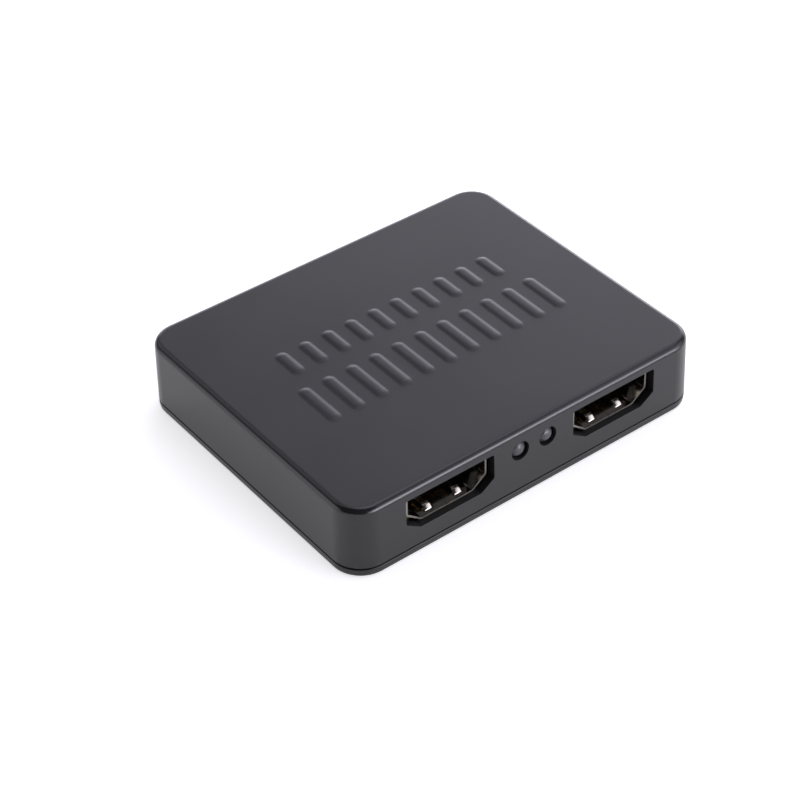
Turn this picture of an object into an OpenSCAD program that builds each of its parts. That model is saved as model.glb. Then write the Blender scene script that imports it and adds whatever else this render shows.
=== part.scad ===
// Video splitter box: one signal socket in at the back, two out at the front.
// Millimetres. +Z is up, the two output sockets face -Y, and the origin is at the
// centre of the underside.

/* [Case] */
// Width of the case, left to right
case_w = 66; // [60:1:80]
// Depth of the case, front to back
case_d = 54; // [49:1:70]
// Height of the closed case
case_h = 12.4; // [11.2:0.1:16]
// Radius of the upright corners
corner_r = 5; // [4:0.5:6]
// Radius along the top edge
top_edge_r = 1.1; // [0.4:0.1:1.4]
// How far each side leans in between the seam and the top
lean = 0.3; // [0.1:0.05:0.6]
// Thickness of the side walls at the seam
wall = 1.6; // [1.3:0.1:2]
// Thickness of the top
roof = 1.6; // [1.2:0.1:1.7]

/* [Relief on the top] */
// Height of the ribs' crowns over the top
rib_h = 0.2; // [0.1:0.05:0.5]
// Width of one rib
rib_w = 2.6; // [1.5:0.1:3]
// Distance from rib to rib
rib_pitch = 4.3; // [3.5:0.1:5]
// Length of the ribs in the front row
front_rib_l = 9.6; // [6:0.2:12]
// Length of the ribs in the back row
back_rib_l = 6.4; // [4:0.2:8]
// Number of ribs in the front row
front_ribs = 11; // [5:1:11]
// Number of ribs in the back row
back_ribs = 10; // [5:1:11]
// Clear distance between the two rows
row_gap = 2.6; // [1:0.2:4]
// Place of the gap between the rows, behind the middle of the top
relief_y = 2.3; // [-2:0.1:5]

/* [Bottom cover] */
// Height of the cover's visible edge
cover_edge = 1.4; // [1.2:0.1:1.5]
// Radius along the cover's lower edge
cover_edge_r = 0.6; // [0.2:0.1:1]
// Thickness of the floor
floor_t = 1.6; // [1.4:0.1:1.7]
// Height of the groove at the seam
seam_h = 0.3; // [0.2:0.05:0.4]
// Depth of the groove at the seam
seam_deep = 0.35; // [0.2:0.05:0.6]
// Thickness of the lip that stands inside the walls
lip_t = 0.9; // [0.6:0.1:1.2]
// Height of the lip above the seam
lip_h = 1.1; // [0.6:0.1:1.2]
// Clearance between the lip and the walls
lip_gap = 0.1; // [0.05:0.05:0.2]

/* [Circuit board] */
// Thickness of the board
board_t = 1.6; // [1:0.2:1.6]
// Clearance between the board and the cover's lip
board_gap = 0.25; // [0.15:0.05:0.5]
// Clear height between the video sockets on the board and the inside of the top
head_room = 0.9; // [0.3:0.05:1]
// Radius of the posts under the board
post_r = 2.9; // [2.7:0.1:3]
// Radius of the bosses over the board
boss_r = 2.4; // [2:0.1:2.6]
// Distance from the board's edges to the screw holes
screw_inset = 3; // [2.8:0.1:3.2]
// Clearance around a leg or wire that goes through the board
hole_gap = 0.2; // [0.1:0.05:0.3]

/* [Screws] */
// Diameter of the screw's shank
screw_d = 2; // [1.8:0.1:2.2]
// Length of the shank under the head
screw_l = 7.4; // [6:0.2:7.8]
// Diameter of the screw's head
head_d = 3.8; // [3.4:0.1:4]
// Height of the screw's head
head_h = 1.2; // [1:0.1:1.5]
// Radius along the edge of the head
head_r = 0.5; // [0.3:0.1:0.8]
// Width of the cross recess's arms
cross_w = 0.5; // [0.4:0.05:0.7]
// Length across the cross recess
cross_l = 2.1; // [1.6:0.1:2.4]
// Depth of the cross recess
cross_deep = 0.7; // [0.5:0.05:0.8]
// Depth of the pocket that the head sits in
head_pocket = 1.8; // [1.6:0.1:2]
// Clearance between a shank and the boss that it bites into
bite_gap = 0.1; // [0.05:0.05:0.2]
// Clearance between a screw and the holes that it drops through
drop_gap = 0.2; // [0.1:0.05:0.3]

/* [Video sockets] */
// Width of the opening
opening_w = 14; // [13.8:0.1:14.2]
// Height of the opening
opening_h = 4.55; // [4.45:0.05:4.6]
// Width of the opening's flat floor
opening_flat = 9.2; // [9:0.1:9.8]
// Height of the opening's upright sides
opening_side = 2.65; // [2.4:0.05:2.8]
// Radius of the corners inside the opening
opening_r = 0.3; // [0.1:0.05:0.5]
// Thickness of the pressed shell
sheet = 0.3; // [0.2:0.05:0.35]
// Length of the shell, front to back
socket_l = 11.2; // [10.4:0.2:12]
// Width of the seam where the shell's sheet meets, along the floor
sheet_seam = 0.08; // [0.04:0.02:0.2]
// Setback of the shell's rim from the foot of the face
recess = 1.15; // [0.7:0.05:1.2]
// Distance of the output sockets' middles from the ends of the case
output_inset = 17.5; // [16.5:0.5:18]
// Place of the input socket, from the middle
input_x = -10; // [-15:1:0]
// Clearance beside the shell in its cut-out
cut_side = 0.7; // [0.3:0.05:0.8]
// Clearance over the shell in its cut-out
cut_over = 0.6; // [0.1:0.05:0.8]
// Clearance under the shell in its cut-out
cut_under = 0.15; // [0.1:0.05:0.4]
// Clearance beside the flat floor in the cut-out
cut_foot = 0.9; // [0.3:0.05:1]
// Height of the cut-out's slanted sides
cut_slant = 1.6; // [0.9:0.05:1.8]
// Radius of the cut-outs' corners
cut_r = 0.4; // [0.2:0.05:0.6]
// Width of the legs that hold a socket in the board
leg_w = 1.2; // [1:0.1:1.5]
// Setback of the front legs from the rim
leg_front = 2.9; // [2.7:0.1:3.4]
// Setback of the back legs from the rim
leg_back = 8; // [7:0.2:8.6]
// Clear height between the sockets' legs and the floor of the case
leg_clear = 0.9; // [0.4:0.1:1.5]

/* [Springs in the video sockets] */
// Width of a spring finger
spring_w = 1.2; // [1:0.1:1.6]
// Width of the slits beside a spring finger
spring_slit = 0.3; // [0.2:0.05:0.4]
// Length of a spring finger from its root to its crest
spring_l = 3.4; // [3:0.2:4]
// Length of a spring finger from its crest to its tip
spring_tip = 0.9; // [0.6:0.05:0.9]
// Height of the crest over the shell's inside
spring_rise = 0.6; // [0.3:0.05:0.7]
// Thickness of a spring finger
spring_t = 0.2; // [0.15:0.05:0.25]
// Distance of the lower springs from the socket's middle
low_spring_x = 2.7; // [2.2:0.1:3]
// Setback of the lower springs' crests from the rim
low_crest = 1.8; // [1.5:0.05:2]
// Distance of the upper springs from the socket's middle
high_spring_x = 3.4; // [3:0.1:4]
// Setback of the upper springs' crests from the rim
high_crest = 3.4; // [3:0.1:4]

/* [Contacts in the video sockets] */
// Thickness of the contact tongue
tongue_t = 1.4; // [1.2:0.1:1.6]
// Width of the contact tongue
tongue_w = 11.2; // [10.6:0.2:11.6]
// Setback of the tongue from the shell's rim
tongue_back = 2.5; // [1.4:0.1:3]
// Thickness of the moulded block behind the tongue
block_l = 4; // [3:0.2:5]
// Clearance of a moulded block in its shell, and of the contacts in it
block_gap = 0.03; // [0.02:0.01:0.05]
// Number of contacts on top of the tongue
high_contacts = 10; // [8:1:10]
// Number of contacts under the tongue
low_contacts = 9; // [7:1:9]
// Distance from contact to contact in a row
contact_pitch = 1; // [0.95:0.05:1.05]
// Width of one contact
contact_w = 0.4; // [0.3:0.02:0.42]
// Thickness of one contact
contact_t = 0.15; // [0.1:0.05:0.2]
// Setback of the contacts' tips from the front of the tongue
contact_back = 0.5; // [0.3:0.1:1]
// Distance of the contacts' tails behind the shell
tail_gap = 0.4; // [0.3:0.1:0.8]
// Length of the contacts' feet on the board
tail_foot = 0.9; // [0.6:0.1:1.2]

/* [Power socket] */
// Distance of the power socket's middle from the end of the case
power_inset = 17; // [15:1:21]
// Width of the opening
power_w = 6.9; // [6.7:0.1:7.1]
// Height of the opening
power_h = 1.85; // [1.75:0.05:2]
// Width of the opening's flat floor
power_flat = 5.3; // [5:0.1:5.6]
// Height of the opening's upright sides
power_side = 1.05; // [0.9:0.05:1.2]
// Radius of the corners inside the opening
power_r = 0.25; // [0.1:0.05:0.35]
// Thickness of the pressed shell
power_sheet = 0.25; // [0.2:0.05:0.3]
// Length of the shell, front to back
power_l = 5.2; // [4.8:0.2:6]
// Clearance around the shell in its cut-out
power_cut = 0.6; // [0.3:0.1:0.8]
// Width of the legs
power_leg_w = 0.8; // [0.6:0.1:0.9]
// Setback of the front legs from the rim
power_leg_front = 2.6; // [2.5:0.1:2.8]
// Setback of the back legs from the rim
power_leg_back = 4.2; // [4:0.1:4.3]
// Width of the contact tongue
power_tongue_w = 3.6; // [3.2:0.1:4]
// Thickness of the contact tongue
power_tongue_t = 0.6; // [0.5:0.05:0.7]
// Clear height over the contact tongue
power_tongue_top = 0.35; // [0.3:0.05:0.5]
// Setback of the tongue from the shell's rim
power_tongue_back = 0.9; // [0.6:0.1:1.2]
// Thickness of the moulded block behind the tongue
power_block = 1.8; // [1.4:0.2:2.2]
// Number of contacts under the tongue
power_contact_count = 5; // [4:1:5]
// Distance from contact to contact
power_pitch = 0.65; // [0.6:0.05:0.7]
// Width of one contact
power_contact_w = 0.3; // [0.2:0.05:0.35]
// Thickness of one contact
power_contact_t = 0.12; // [0.1:0.02:0.16]
// Setback of the contacts' tips from the front of the tongue
power_contact_back = 0.3; // [0.2:0.1:0.6]
// Distance of the contacts' tails behind the shell
power_tail_gap = 0.3; // [0.2:0.1:0.5]
// Length of the contacts' feet on the board
power_foot = 0.7; // [0.5:0.1:1]

/* [Status lamps] */
// Diameter of a lamp's lens
lamp_d = 3; // [2.8:0.1:3.1]
// Length of the lens, from its flange to its tip
lamp_l = 4.6; // [4.2:0.2:5]
// Diameter of the flange behind the lens
flange_d = 3.5; // [3.3:0.1:3.6]
// Thickness of the flange
flange_t = 0.8; // [0.6:0.1:1]
// Distance of the lamps' axes below the inside of the top
lamp_drop = 2.2; // [1.9:0.05:2.6]
// Distance between the two lamps
lamp_pitch = 5.2; // [4.6:0.2:6]
// Setback of a lens tip from the foot of the face
lamp_back = 0.15; // [0.1:0.05:0.9]
// Clearance around a lens in its hole
lamp_gap = 0.1; // [0.05:0.05:0.2]
// Thickness of the square wires
wire_t = 0.5; // [0.4:0.05:0.55]
// Distance between a lamp's two wires
wire_pitch = 2.1; // [1.8:0.1:2.2]
// Distance from a flange to the bend in its wires
wire_back = 1.6; // [1.2:0.1:2]
// Clear height between the wires' ends and the floor of the case
wire_clear = 0.8; // [0.4:0.1:1.3]

/* [Chips] */
// Thickness of the chips' leads
lead_t = 0.15; // [0.1:0.05:0.2]
// Length of a lead before it bends down
lead_out = 0.35; // [0.25:0.05:0.45]
// Reach of a bent lead beyond the side of the chip
lead_reach = 1.1; // [0.9:0.1:1.3]
// Height at which the leads leave a chip
lead_h = 0.7; // [0.5:0.1:0.9]
// Gap between a chip and the board
chip_lift = 0.1; // [0.05:0.05:0.2]
// How far a chip's sides lean in above and below its leads
chip_draft = 0.12; // [0.05:0.01:0.2]
// Radius of the dimple that marks a chip's first lead
dimple_r = 0.35; // [0.2:0.05:0.5]
// Depth of the dimple
dimple_deep = 0.1; // [0.05:0.05:0.2]
// Distance of the dimple from the chip's sides
dimple_inset = 0.9; // [0.7:0.1:1.2]
// Width of the square splitter chip
splitter_w = 7; // [6.6:0.2:7.6]
// Height of the splitter chip
splitter_h = 1.5; // [1.2:0.1:2]
// Number of leads on each side of the splitter chip
splitter_lead_count = 12; // [8:1:12]
// Distance from lead to lead on the splitter chip
splitter_pitch = 0.5; // [0.4:0.05:0.52]
// Width of a lead on the splitter chip
splitter_lead_w = 0.22; // [0.18:0.02:0.26]
// Length of the memory chip
memory_w = 4.9; // [4.6:0.1:5.2]
// Depth of the memory chip
memory_d = 3.9; // [3.6:0.1:4.2]
// Height of the memory chip
memory_h = 1.5; // [1.2:0.1:1.8]
// Number of leads on each side of the memory chip
memory_lead_count = 4; // [2:1:4]
// Distance from lead to lead on the memory chip
memory_pitch = 1.27; // [1.1:0.01:1.3]
// Width of a lead on the memory chip
memory_lead_w = 0.42; // [0.3:0.02:0.5]
// Width of the voltage regulator
regulator_w = 6.5; // [6:0.1:7]
// Depth of the voltage regulator
regulator_d = 3.5; // [3.2:0.1:3.8]
// Height of the voltage regulator
regulator_h = 1.7; // [1.4:0.1:2]
// Number of leads in front of the voltage regulator
regulator_lead_count = 3; // [2:1:3]
// Distance from lead to lead on the voltage regulator
regulator_pitch = 2.3; // [2.1:0.1:2.5]
// Width of a lead on the voltage regulator
regulator_lead_w = 0.7; // [0.5:0.1:0.9]
// Width of the voltage regulator's tab
regulator_tab_w = 3; // [2.6:0.1:3.4]

/* [Other components] */
// Width of the square inductor
inductor_w = 4; // [3.6:0.2:4.4]
// Height of the inductor
inductor_h = 2; // [1.6:0.1:2.6]
// Thickness of the inductor's two end plates
inductor_plate = 0.5; // [0.3:0.05:0.6]
// Radius of the inductor's winding
inductor_r = 1.4; // [1:0.1:1.6]
// Radius of the corners of the inductor's foot
inductor_corner = 0.7; // [0.3:0.1:1.2]
// Length of the crystal can
crystal_w = 10.2; // [9.4:0.2:10.6]
// Depth of the crystal can
crystal_d = 3.8; // [3.4:0.1:4]
// Height of the crystal can
crystal_h = 3.6; // [2.6:0.1:4]
// Width of the flange round the crystal can
crystal_flange = 0.4; // [0.2:0.05:0.5]
// Thickness of the flange round the crystal can
crystal_flange_t = 0.4; // [0.2:0.05:0.6]
// Radius of the capacitor cans
can_r = 2; // [1.6:0.1:2.2]
// Height of the capacitors above the board
can_h = 5; // [4:0.1:5.4]
// Thickness of the capacitors' bases
base_t = 0.6; // [0.4:0.1:0.8]
// How far the capacitors' bases reach beyond the cans
base_rim = 0.1; // [0.05:0.05:0.3]
// Length that is cut from two corners of a capacitor's base
base_cut = 0.75; // [0.4:0.05:1]
// Depth of the rolled neck round a can
neck_deep = 0.25; // [0.1:0.05:0.4]
// Height of the rolled neck above the base
neck_z = 0.8; // [0.6:0.1:1.2]
// Length of a surge array
surge_w = 2.5; // [2.2:0.1:2.8]
// Depth of a surge array
surge_d = 1; // [0.8:0.1:1.2]
// Height of a surge array
surge_h = 0.5; // [0.4:0.05:0.7]
// Length of a chip resistor or capacitor
chip_w = 1.6; // [1.4:0.1:1.8]
// Depth of a chip resistor or capacitor
chip_d = 0.8; // [0.6:0.05:0.9]
// Height of a chip capacitor
capacitor_h = 0.8; // [0.6:0.05:0.9]
// Height of a chip resistor
resistor_h = 0.45; // [0.35:0.05:0.6]
// Length of the metal end caps on a chip resistor or capacitor
end_cap = 0.3; // [0.2:0.05:0.4]
// Thickness of the metal end caps on a chip resistor or capacitor
end_cap_t = 0.02; // [0.01:0.01:0.04]

/* [Places on the board] */
// Distance of the memory chip from the board's left end
memory_inset = 14; // [13:0.5:15]
// Place of the memory chip, behind the middle
memory_y = -1; // [-4:0.5:4]
// Distance of the voltage regulator from the board's right end
regulator_inset = 14.6; // [13:0.2:16]
// Place of the voltage regulator and the inductor, behind the middle
regulator_y = 7; // [6:0.5:8]
// Distance of the crystal can from the board's right end
crystal_inset = 17; // [15.5:0.5:18]
// Place of the crystal can, behind the middle
crystal_y = -5.5; // [-6.5:0.1:-5.5]
// Distance of the inductor and the capacitor cans from the board's right end
cans_inset = 6.6; // [6:0.2:7]
// Place of the capacitor can at the back, behind the middle
cans_y = 1; // [0:0.5:2]
// Distance from one capacitor can to the next
cans_pitch = 6; // [5:0.2:7]
// Distance of the chip capacitors' middles from the side of the splitter chip
capacitor_out = 3.1; // [2.4:0.1:3.5]
// Distance from one chip capacitor to the next
capacitor_pitch = 1.6; // [1.2:0.1:1.6]
// Number of chip capacitors on each side of the splitter chip
capacitor_count = 4; // [2:1:4]
// Distance of the chip resistors from the board's left end
resistor_inset = 5.2; // [4.5:0.1:6]
// Distance between the two columns of chip resistors
resistor_column_gap = 2.4; // [2.2:0.1:3]
// Distance from one chip resistor to the next
resistor_pitch = 2; // [1.4:0.1:2.2]
// Number of chip resistors in a column
resistor_count = 8; // [4:1:8]
// Place of the chip resistors, behind the middle
resistor_y = 1; // [-1:0.5:2]
// Distance between the two surge arrays of a video socket
surge_pitch = 5.2; // [3.4:0.2:7]

/* [Hidden] */
$fn = 48;
joint = 0.01;                 // overlap that joins the shapes of one solid
through = 1;                  // how far a cutting shape runs past what it cuts
seam_z = cover_edge + seam_h;
lip_out = wall + lip_gap;
roof_z = case_h - roof;
board_top = roof_z - head_room - opening_h - 2 * sheet;
board_z = board_top - board_t;
board_inset = lip_out + lip_t + board_gap;
board_w = case_w - 2 * board_inset;
board_d = case_d - 2 * board_inset;
screw_x = board_w / 2 - screw_inset;
screw_y = board_d / 2 - screw_inset;
screw_tip = head_pocket + screw_l;
socket_z = board_top + sheet;
power_z = board_top + power_sheet;
leg_foot = floor_t + leg_clear;
output_x = case_w / 2 - output_inset;
power_x = case_w / 2 - power_inset;
lamp_z = roof_z - lamp_drop;
lamp_foot = lamp_back + lamp_l + flange_t;
block_y = socket_l - block_l;
tongue_z = (opening_h - tongue_t) / 2;
leg_x = (opening_w + sheet) / 2;
power_leg_x = (power_w + power_sheet) / 2;
power_tongue_z = power_h - power_tongue_top - power_tongue_t;
surge_y = recess + socket_l + tail_gap + tail_foot + surge_d;

// The video sockets: name, place along the face, and turn about Z
SOCKETS = [
    ["output_socket_1", -output_x, 0],
    ["output_socket_2", output_x, 0],
    ["input_socket", input_x, 180],
];
// A socket's rows of contacts: how many, height of the tongue's face, and way that it looks
CONTACT_ROWS = [[high_contacts, tongue_z + tongue_t, 1], [low_contacts, tongue_z, -1]];

// Places on the board, from its middle
MEMORY_AT = [memory_inset - board_w / 2, memory_y];
REGULATOR_AT = [board_w / 2 - regulator_inset, regulator_y];
INDUCTOR_AT = [board_w / 2 - cans_inset, regulator_y];
CRYSTAL_AT = [board_w / 2 - crystal_inset, crystal_y];
CANS_AT = [for (i = [0, 1]) [board_w / 2 - cans_inset, cans_y - i * cans_pitch]];
CAPACITORS_AT = [
    for (side = [-1, 1], i = [0:capacitor_count - 1])
        [side * (splitter_w / 2 + capacitor_out), (i - (capacitor_count - 1) / 2) * capacitor_pitch]
];
RESISTORS_AT = [
    for (column = [0, 1], i = [0:resistor_count - 1])
        [
            resistor_inset + column * resistor_column_gap - board_w / 2,
            resistor_y + (i - (resistor_count - 1) / 2) * resistor_pitch,
        ]
];

plastic = [0.20, 0.20, 0.21];
moulding = [0.08, 0.08, 0.08];
steel = [0.75, 0.75, 0.76];
gold = [0.83, 0.68, 0.35];
tin = [0.70, 0.71, 0.72];
laminate = [0.10, 0.12, 0.11];
ferrite = [0.25, 0.25, 0.26];
ceramic = [0.62, 0.50, 0.36];
clear = [0.80, 0.83, 0.85, 0.7];

// Plane geometry

function unit(v) = v / norm(v);
function left_of(a, b) = let (d = unit(b - a)) [-d[1], d[0]];

// Where the two sides that leave a point, with normals n1 and n2, meet when moved out by t
function corner(p, n1, n2, t) = let (m = unit(n1 + n2)) p + m * t / (m * n1);

// Outline of a strip of thickness t that follows a path
function side_of(path, t) = let (last = len(path) - 1) [
    for (i = [0:last])
        let (a = max(i - 1, 0), b = min(i, last - 1))
        corner(path[i], left_of(path[a], path[a + 1]), left_of(path[b], path[b + 1]), t)
];
function reversed(list) = [for (i = [len(list) - 1:-1:0]) list[i]];
function strip(path, t) = concat(side_of(path, t / 2), reversed(side_of(path, -t / 2)));

// A clockwise outline moved outwards by t
function grown(outline, t) = let (n = len(outline)) [
    for (i = [0:n - 1])
        let (a = outline[(i + n - 1) % n], p = outline[i], b = outline[(i + 1) % n])
        corner(p, left_of(a, p), left_of(p, b), t)
];

// An outline with each corner rounded to radius r by an arc of so many steps
function rounded(outline, r, steps = 5) = let (n = len(outline)) [
    for (i = [0:n - 1])
        let (
            p = outline[i],
            u = unit(outline[(i + n - 1) % n] - p),
            v = unit(outline[(i + 1) % n] - p),
            half = acos(u * v) / 2,
            centre = p + unit(u + v) * r / sin(half),
            from = p + u * r / tan(half) - centre,
            to = p + v * r / tan(half) - centre,
            start = atan2(from[1], from[0]),
            sweep = (atan2(to[1], to[0]) - start + 540) % 360 - 180
        )
        for (k = [0:steps])
            let (a = start + sweep * k / steps)
            centre + r * [cos(a), sin(a)]
];

// Clockwise outline of a socket: flat roof, upright sides, slanted to a narrower floor at 0
function socket_outline(w, h, flat, side) = [
    [-w / 2, h - side], [-w / 2, h], [w / 2, h], [w / 2, h - side], [flat / 2, 0], [-flat / 2, 0],
];
opening = socket_outline(opening_w, opening_h, opening_flat, opening_side);
power_opening = socket_outline(power_w, power_h, power_flat, power_side);

// Ways to build

// Extrudes a profile drawn in X and Z along +Y
module along_y(l) {
    translate([0, l, 0]) rotate([90, 0, 0]) linear_extrude(l) children();
}

// Extrudes a profile drawn in Y and Z along X, centred
module along_x(w) {
    translate([-w / 2, 0, 0]) rotate([90, 0, 90]) linear_extrude(w) children();
}

module rounded_rect(w, d, r) {
    square([w - 2 * r, d], center = true);
    square([w, d - 2 * r], center = true);
    for (x = [-1, 1], y = [-1, 1])
        translate([x * (w / 2 - r), y * (d / 2 - r)]) circle(r);
}

// Sweeps an edge profile, drawn out to r, around a rounded rectangle with a solid core
module swept(w, d, r, z0, z1) {
    for (x = [-1, 1], y = [-1, 1])
        translate([x * (w / 2 - r), y * (d / 2 - r), 0])
            rotate([0, 0, y > 0 ? 45 - 45 * x : 225 + 45 * x])
                rotate_extrude(angle = 90) children();
    for (turn = [0, 180]) {
        rotate([0, 0, turn]) translate([w / 2 - r, d / 2 - r, 0])
            rotate([90, 0, 0]) linear_extrude(d - 2 * r) children();
        rotate([0, 0, turn + 90]) translate([d / 2 - r, w / 2 - r, 0])
            rotate([90, 0, 0]) linear_extrude(w - 2 * r) children();
    }
    translate([-w / 2 + r, -d / 2 + r, z0]) cube([w - 2 * r, d - 2 * r, z1 - z0]);
}

module at_screws() {
    for (x = [-1, 1], y = [-1, 1])
        translate([x * screw_x, y * screw_y, 0]) children();
}

// Puts a piece, drawn with its depth along +Y, on the front face, or on the back when turned
module on_face(x, turn, back, z) {
    rotate([0, 0, turn]) translate([turn == 0 ? x : -x, -case_d / 2 + back, z]) children();
}

// A row of pieces along X, centred
module row(count, pitch) {
    for (i = [0:count - 1]) translate([(i - (count - 1) / 2) * pitch, 0, 0]) children();
}

// Case

// Edge of the top shell: a leaning side and a round top edge
module shell_profile() {
    h = case_h - seam_z;
    side = unit([h, lean]);
    centre = [
        corner_r - (top_edge_r + side[1] * (h - top_edge_r)) / side[0],
        case_h - top_edge_r,
    ];
    polygon([
        [0, seam_z], [corner_r, seam_z], centre + top_edge_r * side,
        centre + [0, top_edge_r], [0, case_h],
    ]);
    translate(centre) circle(top_edge_r);
}

// What is cut through a wall: a profile drawn at the foot of the face
module face_cut(x, turn, z) {
    on_face(x, turn, -through, z) along_y(wall + 2 * through) children();
}

module video_cut(x, turn) {
    w = opening_w + 2 * (sheet + cut_side);
    h = opening_h + 2 * sheet + cut_over + cut_under;
    outline = socket_outline(w, h, opening_flat + 2 * cut_foot, h - cut_slant);
    face_cut(x, turn, socket_z - sheet - cut_under) polygon(rounded(outline, cut_r));
}

module power_cut_out() {
    face_cut(power_x, 180, power_z)
        polygon(rounded(grown(power_opening, power_sheet + power_cut), cut_r));
}

module lamp_holes() {
    for (side = [-1, 1])
        face_cut(side * lamp_pitch / 2, 0, lamp_z) circle(d = lamp_d + 2 * lamp_gap);
}

// Right half of a rib's crowned section, with its foot just inside the top
module rib_profile() {
    crown_r = (pow(rib_w / 2, 2) + pow(rib_h, 2)) / (2 * rib_h);
    intersection() {
        translate([0, rib_h - crown_r]) circle(crown_r);
        translate([0, -joint]) square([rib_w, rib_h + 2 * joint]);
    }
}

// A row of plain ribs with crowned backs and round ends
module rib_row(count, l, y) {
    straight = l - rib_w;
    translate([0, y, case_h]) row(count, rib_pitch)
        for (turn = [0, 180]) rotate([0, 0, turn]) {
            translate([0, -straight / 2, 0]) along_y(straight) rib_profile();
            translate([0, straight / 2, 0]) rotate_extrude(angle = 180) rib_profile();
        }
}

module relief() {
    rib_row(front_ribs, front_rib_l, relief_y - (row_gap + front_rib_l) / 2);
    rib_row(back_ribs, back_rib_l, relief_y + (row_gap + back_rib_l) / 2);
}

module top_shell() color(plastic) {
    difference() {
        swept(case_w, case_d, corner_r, seam_z, case_h) shell_profile();
        translate([0, 0, seam_z - through]) linear_extrude(roof_z - seam_z + through)
            rounded_rect(case_w - 2 * wall, case_d - 2 * wall, corner_r - wall);
        for (s = SOCKETS) video_cut(s[1], s[2]);
        power_cut_out();
        lamp_holes();
    }
    at_screws() translate([0, 0, board_top]) difference() {
        cylinder(r = boss_r, h = roof_z - board_top + joint);
        translate([0, 0, -through])
            cylinder(d = screw_d + 2 * bite_gap, h = screw_tip - board_top + bite_gap + through);
    }
    relief();
}

// Edge of the bottom cover: an upright side and a round lower edge
module cover_profile() {
    translate([corner_r - cover_edge_r, cover_edge_r]) circle(cover_edge_r);
    square([corner_r - cover_edge_r, cover_edge]);
    translate([0, cover_edge_r]) square([corner_r, cover_edge - cover_edge_r]);
}

// A slab with the case's outline, set in all round
module slab(inset, z0, z1) {
    translate([0, 0, z0]) linear_extrude(z1 - z0)
        rounded_rect(case_w - 2 * inset, case_d - 2 * inset, corner_r - inset);
}

module bottom_cover() color(plastic) difference() {
    union() {
        difference() {
            union() {
                swept(case_w, case_d, corner_r, 0, cover_edge) cover_profile();
                slab(seam_deep, cover_edge - joint, seam_z);
                slab(lip_out, seam_z - joint, seam_z + lip_h);
            }
            slab(lip_out + lip_t, floor_t, seam_z + lip_h + through);
        }
        at_screws() translate([0, 0, floor_t - joint])
            cylinder(r = post_r, h = board_z - floor_t + joint);
    }
    at_screws() translate([0, 0, -through]) {
        cylinder(d = head_d + 2 * drop_gap, h = head_pocket + through);
        cylinder(d = screw_d + 2 * drop_gap, h = board_z + 2 * through);
    }
}

// Pan-head screws with a cross recess, head down
module case_screws() color(steel) at_screws() {
    translate([0, 0, head_pocket - joint]) cylinder(d = screw_d, h = screw_l + joint);
    translate([0, 0, head_pocket]) mirror([0, 0, 1]) difference() {
        rotate_extrude() {
            square([head_d / 2, head_h - head_r]);
            square([head_d / 2 - head_r, head_h]);
            translate([head_d / 2 - head_r, head_h - head_r]) circle(head_r);
        }
        for (turn = [0, 90])
            translate([0, 0, head_h]) rotate([0, 0, turn])
                cube([cross_w, cross_l, 2 * cross_deep], center = true);
    }
}

// Video sockets, drawn with the rim at Y 0 and the floor of the opening at Z 0

module at_legs() {
    for (x = [-1, 1], y = [leg_front, leg_back]) translate([x * leg_x, y, 0]) children();
}

// Springs stand in the floor, and turned over in the roof
module at_springs() {
    for (x = [-1, 1]) {
        translate([x * low_spring_x, low_crest, 0]) children();
        translate([x * high_spring_x, high_crest, opening_h]) mirror([0, 0, 1]) children();
    }
}

// The window that a spring finger is pressed from, with the crest at Y 0
module spring_window() {
    w = spring_w + 2 * spring_slit;
    front = spring_tip + spring_slit;
    translate([-w / 2, -front, -sheet - through]) cube([w, front + spring_l, sheet + 2 * through]);
}

// A finger that swells from its root to a round crest and ramps down to its tip
module spring_finger() {
    rest = -sheet / 2;
    swell = spring_rise - spring_t / 2 - rest;
    steps = 8;
    ramp = 1.5;
    tip_path = [
        for (k = [steps:-1:0])
            let (far = k / steps)
            [-spring_tip * far, rest + swell * (1 - pow(far, ramp))]
    ];
    root_path = [
        for (k = [1:steps])
            let (far = k / steps)
            [spring_l * far, rest + swell * (1 + cos(180 * far)) / 2]
    ];
    path = concat(tip_path, root_path, [[spring_l + spring_slit, rest]]);
    along_x(spring_w) polygon(strip(path, spring_t));
}

module video_shell() color(steel) {
    difference() {
        along_y(socket_l) difference() {
            polygon(rounded(grown(opening, sheet), opening_r + sheet));
            polygon(rounded(opening, opening_r));
        }
        at_springs() spring_window();
        translate([-sheet_seam / 2, -through, -sheet - through])
            cube([sheet_seam, socket_l + 2 * through, sheet + 2 * through]);
    }
    at_springs() spring_finger();
    at_legs() translate([-sheet / 2, 0, leg_foot - socket_z])
        cube([sheet, leg_w, socket_z - leg_foot + opening_h - opening_side / 2]);
}

// A moulded block that fills the back of the shell, with the tongue that carries the contacts
module video_insulator() color(moulding) difference() {
    groove_w = contact_w + 2 * block_gap;
    groove_t = contact_t + block_gap;
    union() {
        translate([0, block_y, 0]) along_y(block_l)
            polygon(rounded(grown(opening, -block_gap), opening_r));
        translate([-tongue_w / 2, tongue_back, tongue_z])
            cube([tongue_w, block_y - tongue_back + joint, tongue_t]);
    }
    for (side = CONTACT_ROWS)
        row(side[0], contact_pitch)
            translate([-groove_w / 2, block_y - through, side[1] - (side[2] > 0 ? 0 : groove_t)])
                cube([groove_w, block_l + 2 * through, groove_t]);
}

// Each contact lies on the tongue, runs out through the block and turns down to a foot on the board
module video_contacts() color(gold) for (side = CONTACT_ROWS) {
    z = side[1] + side[2] * contact_t / 2;
    foot_z = contact_t / 2 - sheet;
    tail_y = socket_l + tail_gap;
    path = [[tongue_back + contact_back, z], [tail_y, z], [tail_y, foot_z], [tail_y + tail_foot, foot_z]];
    row(side[0], contact_pitch) along_x(contact_w) polygon(strip(path, contact_t));
}

// Power socket, drawn the same way

module at_power_legs() {
    for (x = [-1, 1], y = [power_leg_front, power_leg_back])
        translate([x * power_leg_x, y, 0]) children();
}

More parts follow.
